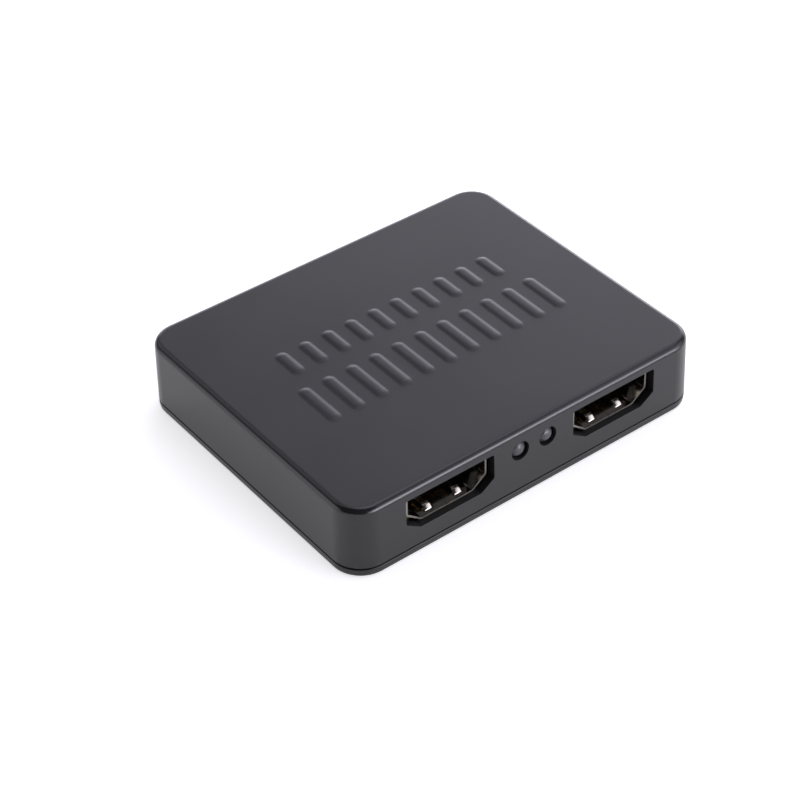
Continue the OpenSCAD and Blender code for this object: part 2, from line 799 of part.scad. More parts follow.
module power_shell() color(steel) {
    along_y(power_l) difference() {
        polygon(rounded(grown(power_opening, power_sheet), power_r + power_sheet));
        polygon(rounded(power_opening, power_r));
    }
    at_power_legs() translate([-power_sheet / 2, 0, leg_foot - power_z])
        cube([power_sheet, power_leg_w, power_z - leg_foot + power_h - power_side / 2]);
}

module power_insulator() color(moulding) {
    groove_w = power_contact_w + 2 * block_gap;
    groove_t = power_contact_t + block_gap;
    block_front = power_l - power_block;
    difference() {
        union() {
            translate([0, block_front, 0]) along_y(power_block)
                polygon(rounded(grown(power_opening, -block_gap), power_r));
            translate([-power_tongue_w / 2, power_tongue_back, power_tongue_z])
                cube([power_tongue_w, block_front - power_tongue_back + joint, power_tongue_t]);
        }
        row(power_contact_count, power_pitch)
            translate([-groove_w / 2, block_front - through, power_tongue_z - groove_t])
                cube([groove_w, power_block + 2 * through, groove_t]);
    }
}

module power_contacts() color(gold) {
    z = power_tongue_z - power_contact_t / 2;
    foot_z = power_contact_t / 2 - power_sheet;
    tail_y = power_l + power_tail_gap;
    tip_y = power_tongue_back + power_contact_back;
    path = [[tip_y, z], [tail_y, z], [tail_y, foot_z], [tail_y + power_foot, foot_z]];
    row(power_contact_count, power_pitch)
        along_x(power_contact_w) polygon(strip(path, power_contact_t));
}

// Status lamps

// A clear lens with a round tip and a flange at its back
module status_lamp(side) color(clear)
    on_face(side * lamp_pitch / 2, 0, lamp_foot, lamp_z) rotate([90, 0, 0]) rotate_extrude() {
        straight = flange_t + lamp_l - lamp_d / 2;
        square([lamp_d / 2, straight]);
        square([flange_d / 2, flange_t]);
        translate([0, straight]) intersection() {
            circle(d = lamp_d);
            square(lamp_d);
        }
    }

module at_wires() {
    for (side = [-1, 1]) on_face(side * lamp_pitch / 2, 0, lamp_foot, 0) row(2, wire_pitch) children();
}

module status_lamp_wires() color(tin) {
    path = [[0, lamp_z], [wire_back, lamp_z], [wire_back, floor_t + wire_clear]];
    at_wires() along_x(wire_t) polygon(strip(path, wire_t));
}

// Circuit board

// A slot for a leg of the given width and thickness
module leg_slot(w, t) {
    translate([-t / 2 - hole_gap, -hole_gap, 0])
        cube([t + 2 * hole_gap, w + 2 * hole_gap, board_t + 2 * through]);
}

module circuit_board() color(laminate) difference() {
    translate([0, 0, board_z]) linear_extrude(board_t)
        rounded_rect(board_w, board_d, corner_r - board_inset);
    translate([0, 0, board_z - through]) {
        at_screws() cylinder(d = screw_d + 2 * drop_gap, h = board_t + 2 * through);
        for (s = SOCKETS) on_face(s[1], s[2], recess, 0) at_legs() leg_slot(leg_w, sheet);
        on_face(power_x, 180, recess, 0) at_power_legs() leg_slot(power_leg_w, power_sheet);
        at_wires() translate([0, wire_back, 0])
            cylinder(d = sqrt(2) * wire_t + 2 * hole_gap, h = board_t + 2 * through);
    }
}

// Components on the board

module on_board(at) {
    translate([at[0], at[1], board_top]) children();
}

// A row of leads along the +Y side of a chip, bent down to feet on the board
module lead_row(count, pitch, side_y, w) {
    foot_z = lead_t / 2;
    path = [
        [side_y, lead_h], [side_y + lead_out, lead_h],
        [side_y + lead_out + lead_t, foot_z], [side_y + lead_reach, foot_z],
    ];
    row(count, pitch) along_x(w) polygon(strip(path, lead_t));
}

// A moulded body, widest where its leads come out, with a dimple at the first one
module chip_body(w, d, h) {
    difference() {
        intersection() {
            along_x(w) chip_profile(d, h);
            translate([0, -d / 2, 0]) along_y(d) chip_profile(w, h);
        }
        translate([dimple_inset - w / 2, dimple_inset - d / 2, h - dimple_deep])
            cylinder(r = dimple_r, h = dimple_deep + through);
    }
}

module chip_profile(w, h) {
    half = w / 2;
    narrow = half - chip_draft;
    polygon([
        [-narrow, chip_lift], [-half, lead_h], [-narrow, h], [narrow, h], [half, lead_h], [narrow, chip_lift],
    ]);
}

module splitter_chip() color(moulding) on_board([0, 0]) chip_body(splitter_w, splitter_w, splitter_h);

module splitter_chip_leads() color(tin) on_board([0, 0])
    for (turn = [0:90:270]) rotate([0, 0, turn])
        lead_row(splitter_lead_count, splitter_pitch, splitter_w / 2, splitter_lead_w);

module memory_chip() color(moulding) on_board(MEMORY_AT) chip_body(memory_w, memory_d, memory_h);

module memory_chip_leads() color(tin) on_board(MEMORY_AT)
    for (turn = [0, 180]) rotate([0, 0, turn])
        lead_row(memory_lead_count, memory_pitch, memory_d / 2, memory_lead_w);

module voltage_regulator() color(moulding)
    on_board(REGULATOR_AT) chip_body(regulator_w, regulator_d, regulator_h);

module voltage_regulator_leads() color(tin) on_board(REGULATOR_AT) {
    rotate([0, 0, 180]) lead_row(regulator_lead_count, regulator_pitch, regulator_d / 2, regulator_lead_w);
    lead_row(1, regulator_pitch, regulator_d / 2, regulator_tab_w);
}

// A wound core between a square foot and a round cap
module inductor() color(ferrite) on_board(INDUCTOR_AT) {
    linear_extrude(inductor_plate) rounded_rect(inductor_w, inductor_w, inductor_corner);
    cylinder(r = inductor_r, h = inductor_h);
    translate([0, 0, inductor_h - inductor_plate]) cylinder(d = inductor_w, h = inductor_plate);
}

// A pressed can with round ends, on its flange
module crystal_can() color(tin) on_board(CRYSTAL_AT) {
    w = crystal_w + 2 * crystal_flange;
    d = crystal_d + 2 * crystal_flange;
    linear_extrude(crystal_flange_t) rounded_rect(w, d, d / 2 - joint);
    linear_extrude(crystal_h) rounded_rect(crystal_w, crystal_d, crystal_d / 2 - joint);
}

// Square bases with two corners cut to mark the poles
module capacitor_bases() color(moulding) for (at = CANS_AT) on_board(at) {
    half = can_r + base_rim;
    cut = half - base_cut;
    linear_extrude(base_t)
        polygon([[-half, -half], [-half, cut], [-cut, half], [cut, half], [half, cut], [half, -half]]);
}

// Drawn cans with a neck rolled in above the base
module capacitor_cans() color(tin) for (at = CANS_AT) on_board(at)
    translate([0, 0, base_t]) rotate_extrude() difference() {
        square([can_r, can_h - base_t]);
        translate([can_r + neck_deep, neck_z]) circle(2 * neck_deep);
    }

// A small body with metal end caps that stand a little proud
module end_capped(h) {
    translate([-chip_w / 2, -chip_d / 2, end_cap_t]) cube([chip_w, chip_d, h - 2 * end_cap_t]);
    for (x = [-1, 1])
        translate([x * (chip_w - end_cap) / 2, 0, h / 2])
            cube([end_cap, chip_d + 2 * end_cap_t, h], center = true);
}

// Two surge arrays behind each video socket
module surge_arrays() color(moulding) for (s = SOCKETS)
    on_face(s[1], s[2], surge_y, board_top) row(2, surge_pitch)
        translate([-surge_w / 2, 0, 0]) cube([surge_w, surge_d, surge_h]);

module chip_capacitors() color(ceramic) for (at = CAPACITORS_AT) on_board(at) end_capped(capacitor_h);

module chip_resistors() color(moulding) for (at = RESISTORS_AT) on_board(at) end_capped(resistor_h);

// What is drawn

top_shell();
bottom_cover();
case_screws();
circuit_board();
for (s = SOCKETS) on_face(s[1], s[2], recess, socket_z) {
    video_shell();
    video_insulator();
    video_contacts();
}
on_face(power_x, 180, recess, power_z) {
    power_shell();  // power_socket_shell
    power_insulator();  // power_socket_insulator
    power_contacts();  // power_socket_contacts
}
status_lamp(-1);  // status_lamp_1
status_lamp(1);  // status_lamp_2
status_lamp_wires();
splitter_chip();
splitter_chip_leads();
memory_chip();
memory_chip_leads();
voltage_regulator();
voltage_regulator_leads();
inductor();
crystal_can();
capacitor_cans();
capacitor_bases();
surge_arrays();
chip_capacitors();
chip_resistors();
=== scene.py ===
# Video splitter box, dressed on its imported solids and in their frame. The scene is in metres,
# and named sizes are in millimetres.
import math

import bmesh
import bpy
from mathutils import Matrix, Vector


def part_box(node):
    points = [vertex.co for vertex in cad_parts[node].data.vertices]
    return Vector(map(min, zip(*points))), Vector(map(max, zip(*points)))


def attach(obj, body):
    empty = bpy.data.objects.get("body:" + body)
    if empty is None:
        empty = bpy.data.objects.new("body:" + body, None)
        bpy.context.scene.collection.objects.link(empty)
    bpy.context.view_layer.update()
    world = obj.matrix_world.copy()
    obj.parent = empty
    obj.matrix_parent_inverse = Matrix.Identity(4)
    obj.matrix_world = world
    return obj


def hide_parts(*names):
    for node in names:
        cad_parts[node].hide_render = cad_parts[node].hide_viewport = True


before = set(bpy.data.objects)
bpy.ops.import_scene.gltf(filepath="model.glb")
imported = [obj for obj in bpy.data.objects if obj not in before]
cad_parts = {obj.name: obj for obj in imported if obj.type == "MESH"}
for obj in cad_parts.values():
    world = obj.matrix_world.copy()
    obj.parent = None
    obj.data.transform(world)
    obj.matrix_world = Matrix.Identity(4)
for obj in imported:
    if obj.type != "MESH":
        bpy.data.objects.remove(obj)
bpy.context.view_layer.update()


# Viewpoint
# The camera stands off the near left corner, a third of a metre away, and looks down at the
# middle of the box. Its angles come from fitting the box's outline to the photograph.
MM = 0.001
VIEW_AZIMUTH = math.radians(-37.297)
VIEW_ELEVATION = math.radians(38.725)
VIEW_ROLL = math.radians(-1.199)
VIEW_DISTANCE = 328.5 * MM
AIM = Vector((0, 0, 6.18 * MM))
AIM_PX = (420.6, 366.8)
PICTURE_PX = 800
FOCAL_PX = 2142

lens = bpy.data.cameras.new("camera")
lens.lens = lens.sensor_width * FOCAL_PX / PICTURE_PX
lens.shift_x = 0.5 - AIM_PX[0] / PICTURE_PX
lens.shift_y = AIM_PX[1] / PICTURE_PX - 0.5
lens.clip_start = 10 * MM
camera = bpy.data.objects.new("camera", lens)
bpy.context.scene.collection.objects.link(camera)
bpy.context.scene.camera = camera

backward = Vector((
    math.sin(VIEW_AZIMUTH) * math.cos(VIEW_ELEVATION),
    -math.cos(VIEW_AZIMUTH) * math.cos(VIEW_ELEVATION),
    math.sin(VIEW_ELEVATION),
))
level = Vector((math.cos(VIEW_AZIMUTH), math.sin(VIEW_AZIMUTH), 0))
axes = Matrix((level, backward.cross(level), backward)).transposed()
axes = axes @ Matrix.Rotation(VIEW_ROLL, 3, "Z")
camera.matrix_world = Matrix.Translation(AIM + VIEW_DISTANCE * backward) @ axes.to_4x4()


# Bottom cover
# A shallow tray of black ABS, injection moulded. Its lip stands inside the walls of the
# upper shell, and a groove between the two makes the seam that runs round the box.
ABS_COLOUR = "1f1f21"
ABS_DARK = "1b1b1d"
ABS_IOR = 1.5
SATIN = 0.3           # roughness of the polished sides
RUBBED = 0.22         # roughness of the edges, which hands have rubbed
EDGE_BAND = 1.1       # height of the rubbed edges
EDGE_FADE = 0.22      # over which they turn to the gloss of the sides
MATT = 0.36           # roughness of the spark eroded faces
ERODED_GRAIN = 0.35   # the real grain is finer, and this is as fine as shows
ERODED_BUMP = 0.12    # strength of the grain on eroded faces
POLISHED_BUMP = 0.02  # and on polished ones
GRAIN_DEPTH = 0.05
FLOW_MARKS = 14       # slow changes of gloss where the melt ran
FLOW_CHANGE = 0.12    # share by which the roughness changes there, either way
PLAIN_BUMP = 0.15     # strength of the grain that a plain mould leaves
PLAIN_DEPTH = 0.03    # depth of that grain
PLAIN_CHANGE = 0.06   # by which its roughness changes, either way
UNDER_POLISHED = 0.1  # the sides are polished down to this height
UNDER_MATT = 0.02     # and the eroded underside begins here
CASE_EDGE = 0.1       # how far moulded edges are softened
CASE_CORNER = 5       # radius of the case's corners in plan
CASE_SKIN = 0.4       # faces deeper than this below the outside are inner faces
CASE_BAND = 1.3       # height of the rounded edges at top and bottom
WELD = 0.0005         # points nearer than this are one
FLAT = math.radians(0.2)  # faces that meet at less than this are one
SHARP = math.radians(35)  # edges that turn by more than this are sharp


def linear(code):
    """Linear colour of an sRGB hex code."""
    parts = [int(code[i:i + 2], 16) / 255 for i in (0, 2, 4)]
    return [p / 12.92 if p < 0.0405 else ((p + 0.055) / 1.055) ** 2.4 for p in parts] + [1]


def add_node(tree, kind, inputs=None, **settings):
    """Adds a node to a tree, makes its settings, and fills its inputs with values or links."""
    node = tree.nodes.new(kind)
    for name, value in settings.items():
        setattr(node, name, value)
    for name, value in (inputs or {}).items():
        if isinstance(value, bpy.types.NodeSocket):
            tree.links.new(value, node.inputs[name])
        else:
            node.inputs[name].default_value = value
    return node


def new_material(name):
    """An empty material, its tree, and the place of a point in the piece's own frame."""
    material = bpy.data.materials.new(name)
    material.use_nodes = True
    tree = material.node_tree
    tree.nodes.clear()
    return material, tree, add_node(tree, "ShaderNodeTexCoord").outputs["Object"]


def close_material(tree, inputs):
    """Ends a tree in one shader with these inputs."""
    shader = add_node(tree, "ShaderNodeBsdfPrincipled", inputs)
    add_node(tree, "ShaderNodeOutputMaterial", {"Surface": shader.outputs["BSDF"]})


def noise(tree, place, size, detail=2):
    """Soft noise whose lumps are about size, in mm."""
    inputs = {"Vector": place, "Scale": 1 / (size * MM), "Detail": detail}
    return add_node(tree, "ShaderNodeTexNoise", inputs).outputs["Fac"]


def spread(tree, value, low, high, start=0, end=1):
    """Maps a value from start and end to low and high, and holds it there outside them."""
    inputs = {"Value": value, "From Min": start, "From Max": end, "To Min": low, "To Max": high}
    return add_node(tree, "ShaderNodeMapRange", inputs).outputs["Result"]


def reckon(tree, operation, first, second=0.0):
    """The result of a sum on two values."""
    return add_node(tree, "ShaderNodeMath", {0: first, 1: second}, operation=operation).outputs["Value"]


def blend_values(tree, share, first, second):
    """First value at share 0, second at share 1."""
    return add_node(tree, "ShaderNodeMix", {0: share, 2: first, 3: second}).outputs[0]


def blend_colours(tree, share, first, second):
    """First colour at share 0, second at share 1. Each is a hex code or a node's output."""
    first, second = (linear(colour) if isinstance(colour, str) else colour for colour in (first, second))
    return add_node(tree, "ShaderNodeMix", {0: share, 6: first, 7: second}, data_type="RGBA").outputs[2]


def moulded_abs(name, start, end):
    """Black ABS: a deep, faintly uneven gloss, brighter along the rubbed edge, which turns to a
    fine matt grain from height start to height end, where the mould was spark eroded."""
    material, tree, place = new_material(name)
    height = add_node(tree, "ShaderNodeSeparateXYZ", {"Vector": place}).outputs["Z"]
    flow = noise(tree, place, FLOW_MARKS, 3)
    to_sides = math.copysign(MM, start - end)
    band = start + EDGE_BAND * to_sides
    sides = spread(tree, height, SATIN, RUBBED, band, band - EDGE_FADE * to_sides)
    gloss = blend_values(tree, spread(tree, height, 0, 1, start, end), sides, MATT)
    roughness = reckon(tree, "MULTIPLY", gloss, spread(tree, flow, 1 - FLOW_CHANGE, 1 + FLOW_CHANGE))
    bump = add_node(tree, "ShaderNodeBump", {
        "Height": noise(tree, place, ERODED_GRAIN),
        "Strength": spread(tree, height, POLISHED_BUMP, ERODED_BUMP, start, end),
        "Distance": GRAIN_DEPTH * MM,
    })
    close_material(tree, {
        "Base Color": blend_colours(tree, flow, ABS_DARK, ABS_COLOUR),
        "Roughness": roughness,
        "IOR": ABS_IOR,
        "Normal": bump.outputs["Normal"],
    })
    return material


def plain_moulding(name, colour, dark, roughness, grain):
    """Plastic as a plain mould leaves it: dull, with a fine uneven grain and no sparkle."""
    material, tree, place = new_material(name)
    lumps = noise(tree, place, grain)
    bump = add_node(tree, "ShaderNodeBump", {
        "Height": lumps, "Strength": PLAIN_BUMP, "Distance": PLAIN_DEPTH * MM,
    })
    close_material(tree, {
        "Base Color": blend_colours(tree, lumps, dark, colour),
        "Roughness": spread(tree, lumps, roughness - PLAIN_CHANGE, roughness + PLAIN_CHANGE),
        "Normal": bump.outputs["Normal"],
    })
    return material


def own_object(name, mesh):
    """A new object of the scene that carries this mesh."""
    piece = bpy.data.objects.new(name, mesh)
    bpy.context.scene.collection.objects.link(piece)
    return piece


def settle(piece):
    """Turns a piece with its modifiers into a plain mesh."""
    graph = bpy.context.evaluated_depsgraph_get()
    mesh = bpy.data.meshes.new_from_object(piece.evaluated_get(graph))
    piece.modifiers.clear()
    piece.data = mesh


def soft_copy(node, edge, segments=3):
    """A copy of a node with its sharp edges rounded by edge, in mm, as a real tool leaves them."""
    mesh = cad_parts[node].data.copy()
    mesh.materials.clear()
    shape = bmesh.new()
    shape.from_mesh(mesh)
    bmesh.ops.remove_doubles(shape, verts=shape.verts, dist=WELD * MM)
    bmesh.ops.dissolve_limit(shape, angle_limit=FLAT, verts=shape.verts, edges=shape.edges)
    shape.to_mesh(mesh)
    shape.free()
    mesh.shade_smooth()
    piece = own_object(node + "_piece", mesh)
    bevel = piece.modifiers.new("edges", "BEVEL")
    bevel.width = edge * MM
    bevel.segments = segments
    bevel.limit_method = "ANGLE"
    bevel.angle_limit = SHARP
    bevel.use_clamp_overlap = True
    bevel.miter_outer = "MITER_ARC"
    weights = piece.modifiers.new("normals", "WEIGHTED_NORMAL")
    weights.keep_sharp = True
    settle(piece)
    return piece


def stands_for(piece, materials, slot, *nodes):
    """Gives a finished piece its materials and puts it in place of its nodes."""
    piece.data.materials.clear()
    for material in materials:
        piece.data.materials.append(material)
    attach(piece, "root")
    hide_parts(*nodes)


def mark_inner_faces(piece):
    """Gives the case's inner faces and cut edges the piece's second material: dull plastic coloured darker
    than the outside, as painted shade.
    """
    low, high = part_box("bottom_cover")[0].z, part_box("top_shell")[1].z
    corner = CASE_CORNER * MM
    for face in piece.data.polygons:
        over_x = max(abs(face.center.x) - case_half.x + corner, 0)
        over_y = max(abs(face.center.y) - case_half.y + corner, 0)
        deep = corner - math.hypot(over_x, over_y) > CASE_SKIN * MM
        if deep and low + CASE_BAND * MM < face.center.z < high - CASE_BAND * MM:
            face.material_index = 1


case_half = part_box("bottom_cover")[1]
# Inner faces and cut edges are dull plain-mould plastic. Their colour is darker than the outside ABS as
# painted shade in the cut-outs and inside the case.
dull_abs_painted_shade = plain_moulding("black ABS, plain mould face, darker as painted shade", "121213", "0e0e0f", 0.6, 0.3)
cover_abs = moulded_abs("black ABS, polished sides", UNDER_POLISHED * MM, UNDER_MATT * MM)
cover = soft_copy("bottom_cover", CASE_EDGE)
stands_for(cover, [cover_abs, dull_abs_painted_shade], "case_plastic", "bottom_cover")
mark_inner_faces(cover)


# Circuit board
# One panel of glass fibre laminate, routed to shape, with black solder resist on both faces.
# It lies on the cover's bosses, and the case screws go through its corners.
TRACK_PITCH = 0.5
TRACK_FIELD = 5    # about how far tracks run before they turn
TRACK_FOOT = 0.35  # height of the wave at the foot of a track's side
TRACK_BROW = 0.55  # and at its upper edge
TRACK_BUMP = 0.4   # strength of the tracks under the lacquer
COPPER_T = 0.035
WAVE_UNIT = 20     # a wave texture of scale 1 turns by this angle along one unit
LEVEL = 0.7        # least upright share of a level face's normal
BOARD_EDGE = 0.04


def solder_resist(name):
    """Black lacquer over copper tracks: glossy, with the tracks as faint ridges, and raw
    straw-coloured laminate on the routed edges."""
    material, tree, place = new_material(name)
    fields = add_node(tree, "ShaderNodeTexVoronoi", {"Vector": place, "Scale": 1 / (TRACK_FIELD * MM)})
    turn = reckon(tree, "GREATER_THAN", add_node(
        tree, "ShaderNodeSeparateColor", {"Color": fields.outputs["Color"]}
    ).outputs["Red"], 0.5)
    waves = [
        add_node(
            tree, "ShaderNodeTexWave",
            {"Vector": place, "Scale": math.tau / (WAVE_UNIT * TRACK_PITCH * MM), "Distortion": 0},
            bands_direction=way,
        ).outputs["Fac"]
        for way in ("X", "Y")
    ]
    track = spread(tree, blend_values(tree, turn, *waves), 0, 1, TRACK_FOOT, TRACK_BROW)
    normal = add_node(tree, "ShaderNodeNewGeometry").outputs["Normal"]
    upright = add_node(tree, "ShaderNodeSeparateXYZ", {"Vector": normal}).outputs["Z"]
    on_face = reckon(tree, "GREATER_THAN", reckon(tree, "ABSOLUTE", upright), LEVEL)
    lacquer = blend_colours(tree, track, "0b0d0c", "161a18")
    bump = add_node(tree, "ShaderNodeBump", {
        "Height": track, "Strength": TRACK_BUMP, "Distance": COPPER_T * MM,
    })
    close_material(tree, {
        "Base Color": blend_colours(tree, on_face, "6b6144", lacquer),
        "Roughness": spread(tree, on_face, 0.7, 0.3),
        "Normal": bump.outputs["Normal"],
    })
    return material


stands_for(
    soft_copy("circuit_board", BOARD_EDGE, 1), [solder_resist("black solder resist on laminate")],
    "board_laminate", "circuit_board",
)
board_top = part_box("circuit_board")[1].z


# Chips
# Three packages moulded from black epoxy round their lead frames, with gull wing leads
# trimmed from tinned copper alloy and soldered to the board.
TIN = "b9bbbd"
LEAD_T = 0.15
LEAD_BEND = 0.12
LEAD_EXIT = 0.7       # height over the board at which a lead leaves the package
LEAD_SHOULDER = 0.35  # how far it runs out before it bends down
LEAD_HEEL = 0.5       # and before it bends out again on the board
LEAD_TOE = 1.1
CHIP_EDGE = 0.06


def rolled_metal(name, colour, smooth, rough, line=0.12, run=2.5):
    """Bare or plated metal: a bright reflection, drawn out a little by fine lines that run
    along Y. The lines are line mm across and run mm long."""
    material, tree, place = new_material(name)
    size = {"Vector": place, "Scale": (1 / (line * MM), 1 / (run * MM), 1 / (line * MM))}
    drawn = add_node(tree, "ShaderNodeMapping", size).outputs["Vector"]
    lines = add_node(tree, "ShaderNodeTexNoise", {"Vector": drawn, "Scale": 1, "Detail": 2}).outputs["Fac"]
    close_material(tree, {
        "Base Color": linear(colour),
        "Metallic": 1,
        "Roughness": spread(tree, lines, smooth, rough),
    })
    return material


def new_tree(name, inputs):
    """An empty geometry tree with these inputs, by name and kind."""
    tree = bpy.data.node_groups.new(name, "GeometryNodeTree")
    for label, kind in inputs.items():
        tree.interface.new_socket(label, in_out="INPUT", socket_type="NodeSocket" + kind)
    tree.interface.new_socket("Geometry", in_out="OUTPUT", socket_type="NodeSocketGeometry")
    return tree, add_node(tree, "NodeGroupInput").outputs


def close_tree(tree, instances, material):
    """Ends a geometry tree: real faces in place of the copies, with their material."""
    real = add_node(tree, "GeometryNodeRealizeInstances", {"Geometry": instances})
    made = add_node(tree, "GeometryNodeSetMaterial", {"Geometry": real.outputs[0], "Material": material})
    add_node(tree, "NodeGroupOutput", {"Geometry": made.outputs[0]})


def strips_tree():
    """Turns a bent line into a flat strip with rounded bends, and repeats it in a row."""
    tree, given = new_tree("row of bent strips", {
        "Line": "Geometry", "Width": "Float", "Thickness": "Float", "Bend": "Float",
        "Count": "Int", "First": "Vector", "Step": "Vector", "Material": "Material",
    })
    path = add_node(tree, "GeometryNodeMeshToCurve", {"Mesh": given["Line"]})
    bent = add_node(tree, "GeometryNodeFilletCurve", mode="POLY", inputs={
        "Curve": path.outputs[0], "Count": 4, "Radius": given["Bend"], "Limit Radius": True,
    })
    section = add_node(tree, "GeometryNodeCurvePrimitiveQuadrilateral", {
        "Width": given["Width"], "Height": given["Thickness"],
    })
    strip = add_node(tree, "GeometryNodeCurveToMesh", {
        "Curve": bent.outputs[0], "Profile Curve": section.outputs[0], "Fill Caps": True,
    })
    row = add_node(tree, "GeometryNodeMeshLine", {
        "Count": given["Count"], "Start Location": given["First"], "Offset": given["Step"],
    })
    copies = add_node(tree, "GeometryNodeInstanceOnPoints", {
        "Points": row.outputs[0], "Instance": strip.outputs[0],
    })
    close_tree(tree, copies.outputs[0], given["Material"])
    return tree


def shade_rounded(piece):
    """Shades a piece as round, apart from its sharp edges."""
    piece.data.shade_smooth()
    piece.data.set_sharp_from_angle(angle=SHARP)


def grow(piece, tree, values):
    """Runs a geometry tree on a piece and keeps the faces that it makes."""
    modifier = piece.modifiers.new(tree.name, "NODES")
    modifier.node_group = tree
    for socket in tree.interface.items_tree:
        if socket.name in values:
            modifier[socket.identifier] = values[socket.name]
    settle(piece)
    shade_rounded(piece)


def strip_row(path, width, thickness, bend, count, pitch, material, place):
    """A row along X of strips bent along a path in Y and Z, put in its place. Sizes in mm."""
    line = bpy.data.meshes.new("bent line")
    points = [(0, y * MM, z * MM) for y, z in path]
    line.from_pydata(points, [(i, i + 1) for i in range(len(points) - 1)], [])
    piece = own_object("strips", line)
    grow(piece, bent_strips, {
        "Width": width * MM, "Thickness": thickness * MM, "Bend": bend * MM, "Count": count,
        "First": Vector((-(count - 1) / 2 * pitch * MM, 0, 0)), "Step": Vector((pitch * MM, 0, 0)),
        "Material": material,
    })
    piece.data.transform(place)
    return piece


def close_shape(name, shape):
    """Ends a shape as a new object of the scene."""
    mesh = bpy.data.meshes.new(name)
    shape.to_mesh(mesh)
    shape.free()
    return own_object(name, mesh)


def joined(name, pieces):
    """One piece that holds the faces of several."""
    shape = bmesh.new()
    for piece in pieces:
        shape.from_mesh(piece.data)
        bpy.data.objects.remove(piece)
    return close_shape(name, shape)


def middle(node):
    """Middle of a node's box in plan, at the height of the board's face."""
    low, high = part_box(node)
    return Vector(((low.x + high.x) / 2, (low.y + high.y) / 2, board_top))


def lead_path(side):
    """Line of a gull wing lead from a package's side, in mm over the board."""
    return [
        (side, LEAD_EXIT), (side + LEAD_SHOULDER, LEAD_EXIT),
        (side + LEAD_HEEL, LEAD_T / 2), (side + LEAD_TOE, LEAD_T / 2),
    ]


bent_strips = strips_tree()
epoxy = plain_moulding("black epoxy moulding", "1d1d1e", "171718", 0.5, 0.2)
tin = rolled_metal("tinned copper alloy", TIN, 0.28, 0.42)
# Each row: half width of the package at its leads, lead width, count, pitch, and which way it faces
CHIP_LEADS = {
    "splitter_chip": [(3.5, 0.22, 12, 0.5, turn) for turn in (0, 90, 180, 270)],
    "memory_chip": [(1.95, 0.42, 4, 1.27, turn) for turn in (0, 180)],
    "voltage_regulator": [(1.75, 0.7, 3, 2.3, 180), (1.75, 3, 1, 1, 0)],
}
for chip, rows in CHIP_LEADS.items():
    stands_for(soft_copy(chip, CHIP_EDGE, 2), [epoxy], "chip_moulding", chip)
    seat = Matrix.Translation(middle(chip))
    strips = [
        strip_row(
            lead_path(side), width, LEAD_T, LEAD_BEND, count, pitch, tin,
            seat @ Matrix.Rotation(math.radians(turn), 4, "Z"),
        )
        for side, width, count, pitch, turn in rows
    ]
    leads = chip + "_leads"
    stands_for(joined(leads + "_piece", strips), [tin], "tinned_metal", leads)


# Other components on the board
# A ferrite choke, a crystal in its pressed can, two electrolytic capacitors in drawn cans,
# surge arrays behind the sockets, and rows of small chip capacitors and resistors.
CHIP_LENGTH = 1.6
END_CAP = 0.3       # length of a chip component's tinned ends
FIRED_GRAIN = 0.15


def chip_ends(name, node, body, dark):
    """Small fired chips whose two ends along X are dipped in bright tin. The chips stand in two
    columns along Y, the same distance from the middle of their node."""
    material, tree, place = new_material(name)
    low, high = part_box(node)
    half = CHIP_LENGTH * MM / 2
    column = (high.x - low.x) / 2 - half
    along = add_node(tree, "ShaderNodeSeparateXYZ", {"Vector": place}).outputs["X"]
    from_middle = reckon(tree, "ABSOLUTE", reckon(tree, "SUBTRACT", along, (low.x + high.x) / 2))
    from_chip = reckon(tree, "ABSOLUTE", reckon(tree, "SUBTRACT", from_middle, column))
    tinned = reckon(tree, "GREATER_THAN", from_chip, half - END_CAP * MM)
    grain = noise(tree, place, FIRED_GRAIN)
    close_material(tree, {
        "Base Color": blend_colours(tree, tinned, blend_colours(tree, grain, dark, body), TIN),
        "Metallic": tinned,
        "Roughness": spread(tree, grain, 0.3, 0.45),
    })
    return material


ferrite = plain_moulding("sintered ferrite", "35353a", "2b2b2f", 0.6, 0.12)
bright_can = rolled_metal("nickel plated can", "c2beb5", 0.2, 0.32)
aluminium = rolled_metal("drawn aluminium", "c6c8ca", 0.24, 0.4)
fired = chip_ends("fired ceramic with tinned ends", "chip_capacitors", "8d7150", "7c6245")
film = chip_ends("resistor film with tinned ends", "chip_resistors", "1a1a1c", "141416")
COMPONENTS = [  # node, how far its edges are softened, material and slot
    ("inductor", 0.12, ferrite, "ferrite"),
    ("crystal_can", 0.25, bright_can, "tinned_metal"),
    ("capacitor_cans", 0.2, aluminium, "can_aluminium"),
    ("capacitor_bases", 0.08, epoxy, "chip_moulding"),
    ("surge_arrays", 0.05, epoxy, "chip_moulding"),
    ("chip_capacitors", 0.05, fired, "ceramic"),
    ("chip_resistors", 0.05, film, "chip_moulding"),
]
for node, edge, material, slot in COMPONENTS:
    stands_for(soft_copy(node, edge, 2), [material], slot, node)


# Video sockets
# Three alike: a shell pressed from nickel plated steel with sprung fingers cut in it, a black
# insulator with the contact tongue, and nineteen contacts bent down to the board.
SHELL_EDGE = 0.09
SHELL_SHEET = 0.3
OPENING_H = 4.55
INSULATOR_EDGE = 0.08
TONGUE_LOW = 1.575   # height of the tongue's underside over the opening's floor
TONGUE_T = 1.4
CONTACT_T = 0.15
CONTACT_W = 0.4
CONTACT_PITCH = 1
CONTACT_BEND = 0.2
CONTACT_BACK = 11.6  # from the rim to where the contacts bend down
CONTACT_FOOT = 0.9
IN_PLANE = 0.01      # faces this near a plane lie in it
RIM_FACING = 0.99    # if at least this share of their normal points out of it


def contact_path(start, back, height, foot_z, foot):
    """Line of a contact: along the tongue, down behind the insulator and out along the board."""
    return [(start, height), (back, height), (back, foot_z), (back + foot, foot_z)]


def mark_cut_edge(piece, rim_y):
    """Gives the sheared edge of the sheet at the rim the piece's second material."""
    for face in piece.data.polygons:
        if abs(face.normal.y) > RIM_FACING and abs(face.center.y - rim_y) < IN_PLANE * MM:
            face.material_index = 1


